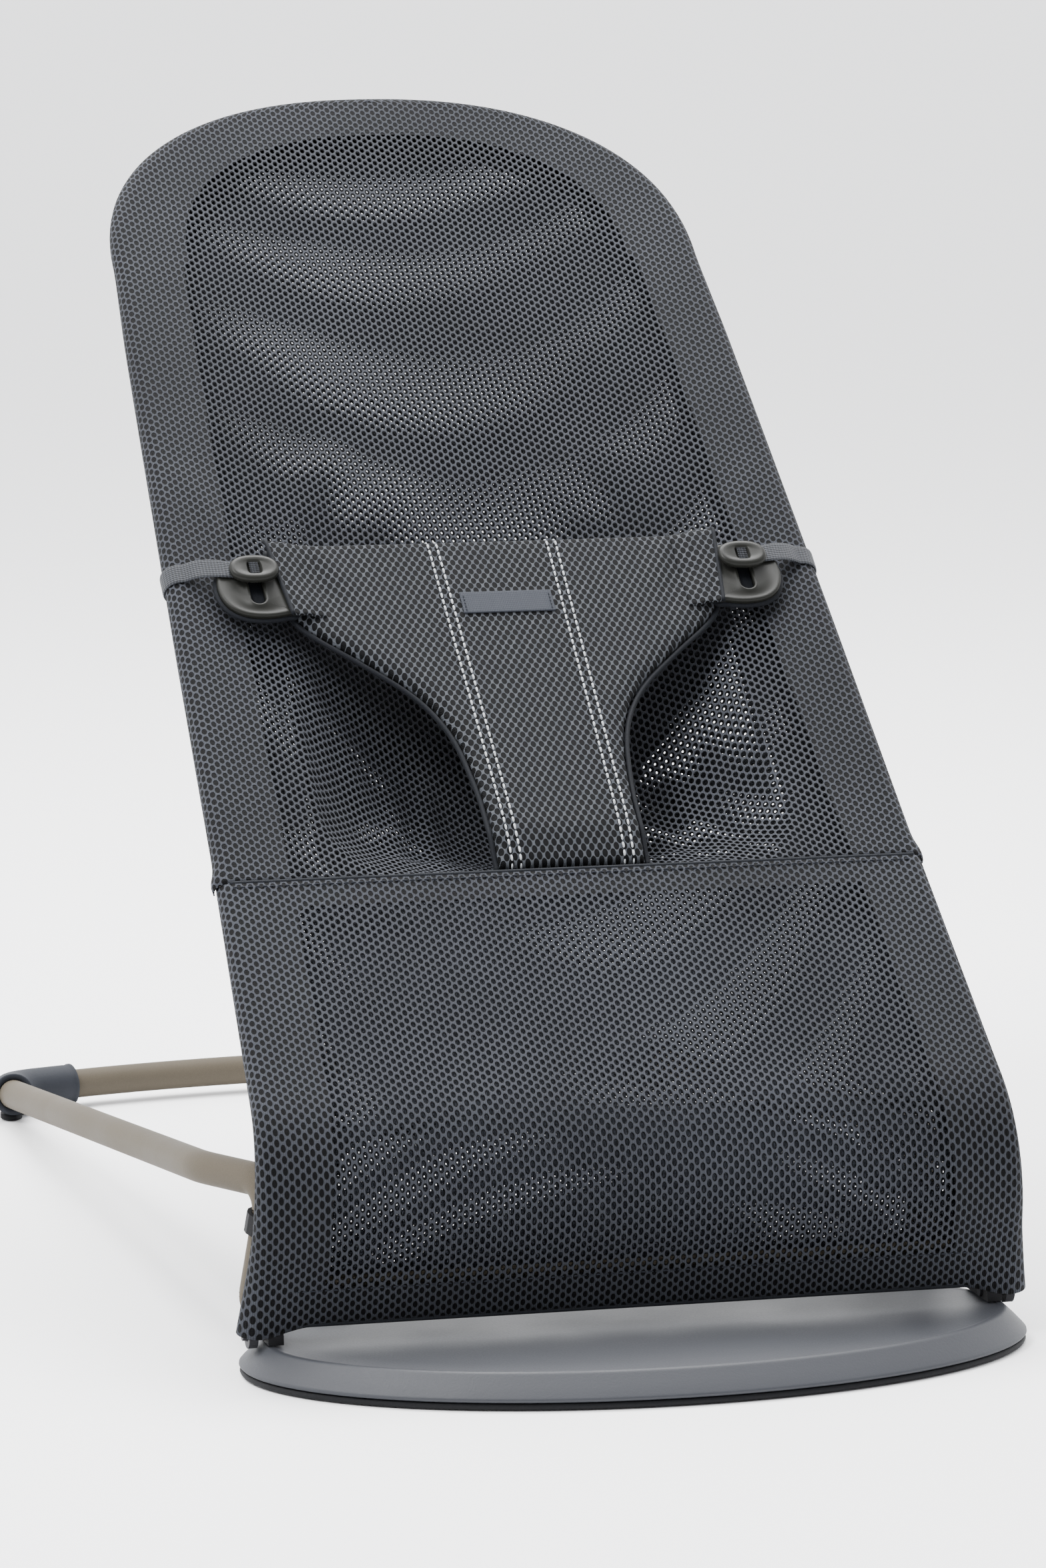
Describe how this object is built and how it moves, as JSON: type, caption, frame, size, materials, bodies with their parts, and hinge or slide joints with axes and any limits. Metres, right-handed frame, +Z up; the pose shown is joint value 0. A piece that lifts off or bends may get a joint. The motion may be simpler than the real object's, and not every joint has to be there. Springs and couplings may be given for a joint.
{
  "type": "bouncer seat",
  "caption": "Low baby bouncer: mesh cover on a tilted tube frame with a buttoned harness, hinged to a floor plate with a springy bow behind.",
  "frame": {"origin": "on the floor under the middle of the object's bounding box, highest seat position", "axes": "+X to the object's right as seen from the front, -Y towards the front where the child's feet are, +Z up"},
  "size_m": [0.4066, 0.795, 0.5805],
  "materials": {
    "mesh_fabric": "open polyester mesh, matt",
    "net_padding": "padded polyester net, matt",
    "webbing": "woven webbing, matt",
    "label_cloth": "woven satin label, plain",
    "champagne_steel": "champagne metallic paint, satin",
    "dark_steel": "dark paint, satin",
    "grey_plastic": "fine matt moulded texture",
    "black_plastic": "matt moulded",
    "toggle_plastic": "satin moulded",
    "foot_rubber": "matt rubber",
    "grip_rubber": "matt rubber"
  },
  "bodies": {
    "base": {"base_plate": "grey_plastic", "plate_grip": "grip_rubber", "base_bow": "champagne_steel", "bow_foot_left": "foot_rubber", "bow_foot_right": "foot_rubber", "bow_socket_left": "black_plastic", "bow_socket_right": "black_plastic", "position_catch_left": "black_plastic", "position_catch_right": "black_plastic", "hinge_bracket_left": "black_plastic", "hinge_bracket_right": "black_plastic"},
    "seat": {"seat_frame": "champagne_steel", "hem_bar": "champagne_steel", "rack_bar": "dark_steel", "cover_back_panel": "mesh_fabric", "cover_apron": "mesh_fabric", "cover_rear_panel": "mesh_fabric", "cover_rim": "mesh_fabric", "harness_panel": "net_padding", "harness_label": "label_cloth", "hinge_eye_left": "champagne_steel", "hinge_eye_right": "champagne_steel", "hinge_pin_left": "dark_steel", "hinge_pin_right": "dark_steel", "position_rack_left": "black_plastic", "position_rack_right": "black_plastic", "slot_plate_left": "toggle_plastic", "slot_plate_right": "toggle_plastic", "strap_left": "webbing", "strap_right": "webbing"},
    "toggle_left": {"toggle_left": "toggle_plastic"},
    "toggle_right": {"toggle_right": "toggle_plastic"}
  },
  "joints": [
    {"name": "recline", "type": "hinge", "parent": "base", "child": "seat", "pos_m": [0, -0.28845, 0.02], "axis": [-1, 0, 0], "range_deg": [0, 36]},
    {"name": "toggle_left_slide", "type": "slide", "parent": "seat", "child": "toggle_left", "axis": [0, -0.7716, -0.6361], "range_m": [0, 0.015]},
    {"name": "toggle_right_slide", "type": "slide", "parent": "seat", "child": "toggle_right", "axis": [0, -0.7716, -0.6361], "range_m": [0, 0.015]}
  ]
}
